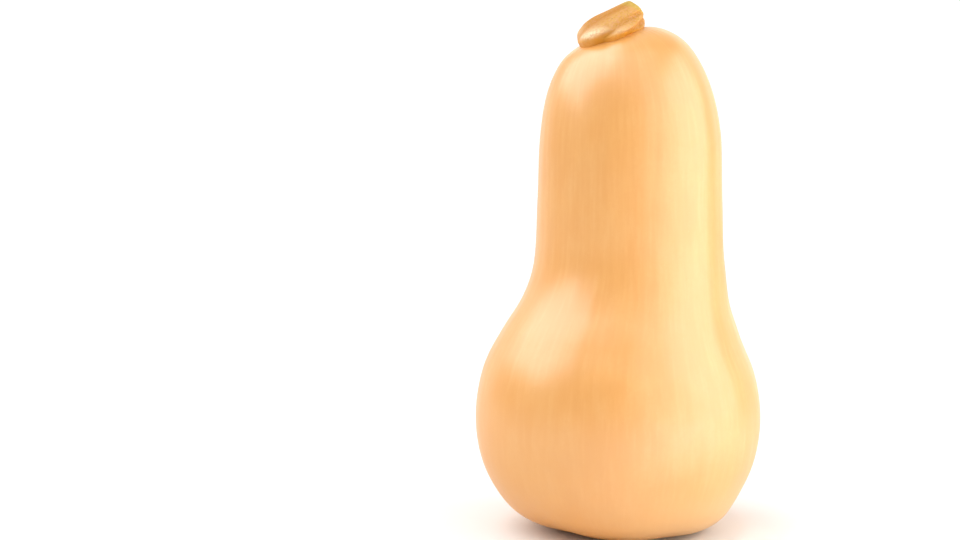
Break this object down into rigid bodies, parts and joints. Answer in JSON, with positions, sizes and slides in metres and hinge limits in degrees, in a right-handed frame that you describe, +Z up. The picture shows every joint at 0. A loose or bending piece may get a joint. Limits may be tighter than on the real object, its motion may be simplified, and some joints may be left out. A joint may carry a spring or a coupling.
{
  "type": "butternut squash",
  "caption": "Whole butternut squash standing on its blossom end: round bulb, long straight neck, domed crown and a short ridged stem leaning to one side.",
  "frame": {"origin": "on the floor under the middle of the bulb, at the blossom end", "axes": "+Z up along the fruit from the blossom end to the crown; +X to the side where the neck and the stem lean; -Y is the front"},
  "size_m": [0.1294, 0.1265, 0.2382],
  "materials": {
    "rind": "smooth waxy rind with a satin sheen, pale orange tan with faint lengthwise streaks",
    "stem": "dry corky stem, ridged, tan with browner valleys"
  },
  "bodies": {
    "root": {"fruit": "rind", "stem": "stem"}
  },
  "joints": []
}
